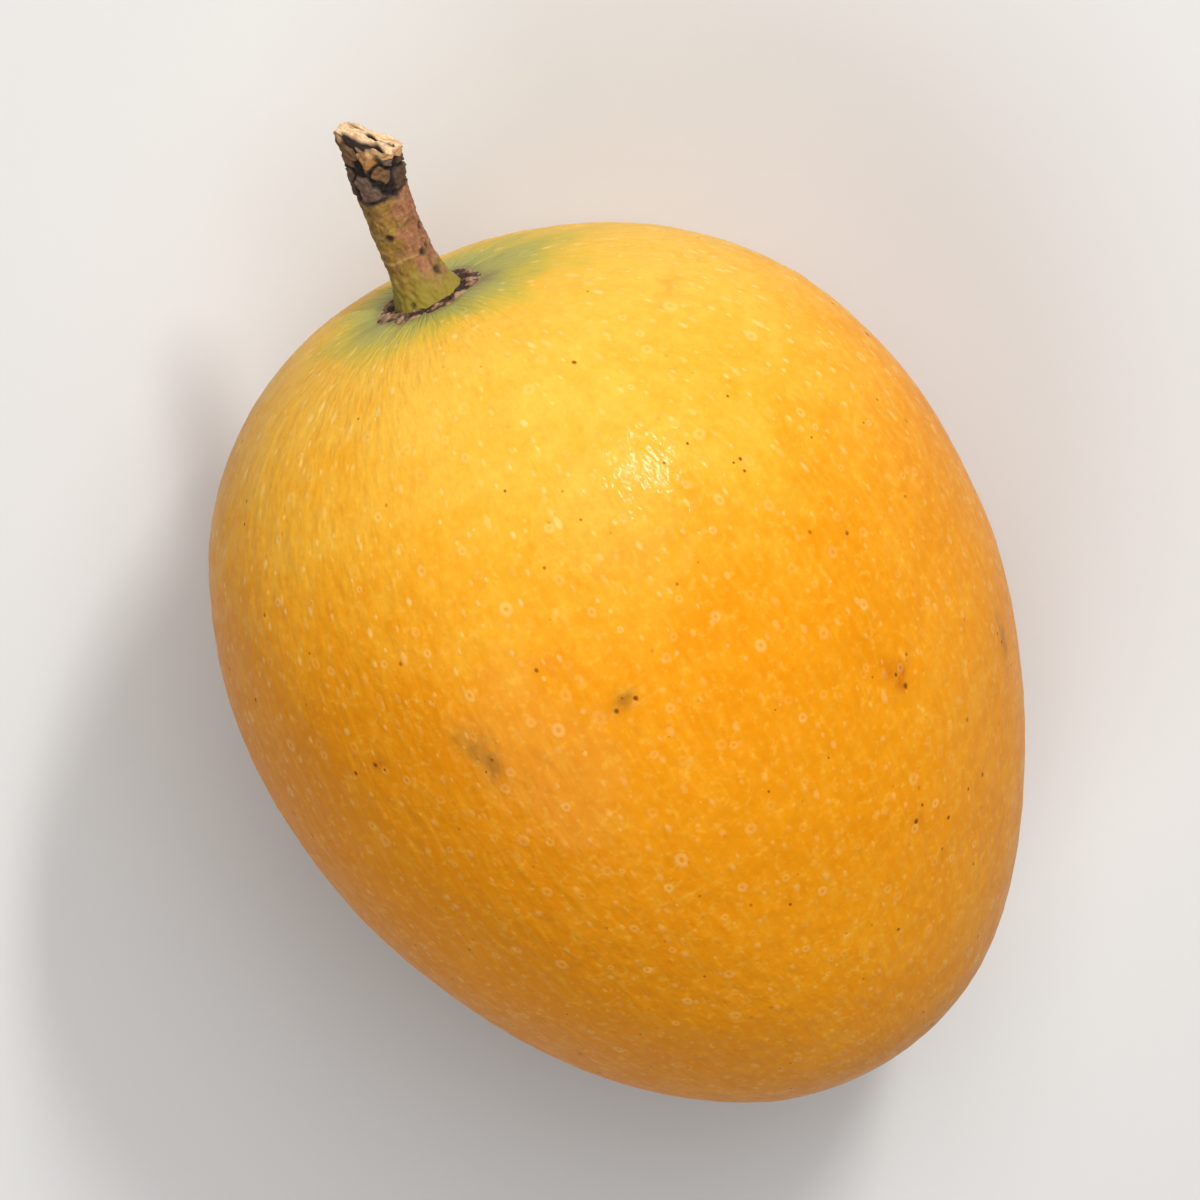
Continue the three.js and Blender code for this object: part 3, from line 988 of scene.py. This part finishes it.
def crust_finish():
    """Corky calyx: dark purple-brown lumps with pinkish tan crumbs between, paler on one side."""
    f = Finish("calyx_crust", IOR=1.4)
    crumbs = f.noise(0.0005, detail=3.0, rough=0.6)
    lump = f.math("ADD", f.value("lump"), f.ramp(crumbs, 0.25, 0.75, -0.35, 0.35))
    lump = f.math("SUBTRACT", lump, f.times(f.value("dark_side"), 0.22))
    lump = f.math("ADD", lump, f.ramp(f.value("rim"), 0.0, 1.0, -0.22, 0.22))
    colour = f.colours(lump, CRUST_TONES)
    roughness = f.ramp(crumbs, 0.3, 0.7, 0.70, 0.92)
    return f.finish(colour, roughness, f.bump(crumbs, distance=0.00012, strength=0.8))


def floor_finish():
    """Plain pale studio floor with the faintest unevenness."""
    f = Finish("pale_floor")
    tone = f.mix(f.noise(0.12, detail=2.0), (0.680, 0.680, 0.680), (0.705, 0.703, 0.698))
    roughness = f.ramp(f.noise(0.05), 0.3, 0.7, 0.60, 0.70)
    return f.finish(tone, roughness, f.bump(f.noise(0.002), distance=0.00001, strength=0.3))


# ---------------------------------------------------------------- stage, light and camera


FLOOR_HALF = 3.0           # half the side of the floor, in metres
FRUIT_MIDDLE = 0.034       # height that the lights face, in metres
SURROUND_STRENGTH = 0.11
CAMERA_DISTANCE = 0.94
FRAME_WIDTH = 0.118        # what the camera sees across at that distance, in metres
PAST_OVERHEAD = math.radians(17.3)  # how far the camera leans over from the stalk end
CAMERA_TURN = math.radians(-27.6)


def make_floor():
    """A wide flat square under the fruit."""
    corners = FLOOR_HALF * np.array([[-1, -1, 0], [1, -1, 0], [1, 1, 0], [-1, 1, 0]], float)
    mesh = bpy.data.meshes.new("floor")
    mesh.from_pydata(corners.tolist(), [], [(0, 1, 2, 3)])
    floor = bpy.data.objects.new("floor", mesh)
    bpy.context.scene.collection.objects.link(floor)
    mesh.materials.append(floor_finish())


def softbox(name, towards, distance, width, height, power, colour, roll=0.0):
    """A rectangular area light at a distance along a direction from the fruit, facing it, and rolled
    by some degrees about that direction."""
    light = bpy.data.lights.new(name, "AREA")
    light.shape = "RECTANGLE"
    light.size, light.size_y = width, height
    light.energy = power
    light.color = colour
    holder = bpy.data.objects.new(name, light)
    direction = Vector(towards).normalized()
    holder.location = Vector((0, 0, FRUIT_MIDDLE)) + direction * distance
    holder.rotation_mode = "QUATERNION"
    facing = direction.to_track_quat("Z", "Y")
    holder.rotation_quaternion = facing @ Quaternion((0, 0, 1), math.radians(roll))
    bpy.context.scene.collection.objects.link(holder)


def make_light():
    """Soft daylight from over the stalk end, a small bright window for the shine, a weak fill from
    the nose side, and a dim pale surround."""
    softbox("daylight", (0.36, 0.42, 0.83), distance=1.2, width=0.85, height=0.85,
            power=8.9, colour=(1.0, 0.99, 0.97))
    softbox("window", (0.586, 0.489, 0.646), distance=1.0, width=0.07, height=0.24,
            power=5.6, colour=(1.0, 0.985, 0.96), roll=35)
    softbox("fill", (-0.48, -0.30, 0.82), distance=1.3, width=0.8, height=0.8,
            power=6.0, colour=(1.0, 0.99, 0.98))
    world = bpy.data.worlds.new("surround")
    world.use_nodes = True
    backdrop = world.node_tree.nodes["Background"]
    backdrop.inputs["Color"].default_value = (1.0, 0.995, 0.985, 1.0)
    backdrop.inputs["Strength"].default_value = SURROUND_STRENGTH
    bpy.context.scene.world = world


def make_camera():
    """A long lens that looks down on the upper cheek, leaning over from the stalk end."""
    lens = bpy.data.cameras.new("camera")
    lens.sensor_width = 36.0
    lens.lens = lens.sensor_width * CAMERA_DISTANCE / FRAME_WIDTH
    lens.clip_start, lens.clip_end = 0.05, 10.0
    camera = bpy.data.objects.new("camera", lens)
    turn = Euler((-PAST_OVERHEAD, 0, CAMERA_TURN))
    low, high = cad_box
    camera.rotation_euler = turn
    camera.location = (low + high) / 2 + turn.to_matrix() @ Vector((0, 0, CAMERA_DISTANCE))
    bpy.context.scene.collection.objects.link(camera)
    bpy.context.scene.camera = camera


make_camera()
make_light()
make_floor()

skin_material = skin_finish()
for skin_piece in (make_skin(), make_pale_dots(), make_pore_rings(), make_specks()):
    skin_piece.data.materials.append(skin_material)
make_stalk().data.materials.append(bark_finish())
make_calyx().data.materials.append(crust_finish())

bpy.context.scene.view_settings.view_transform = "Standard"
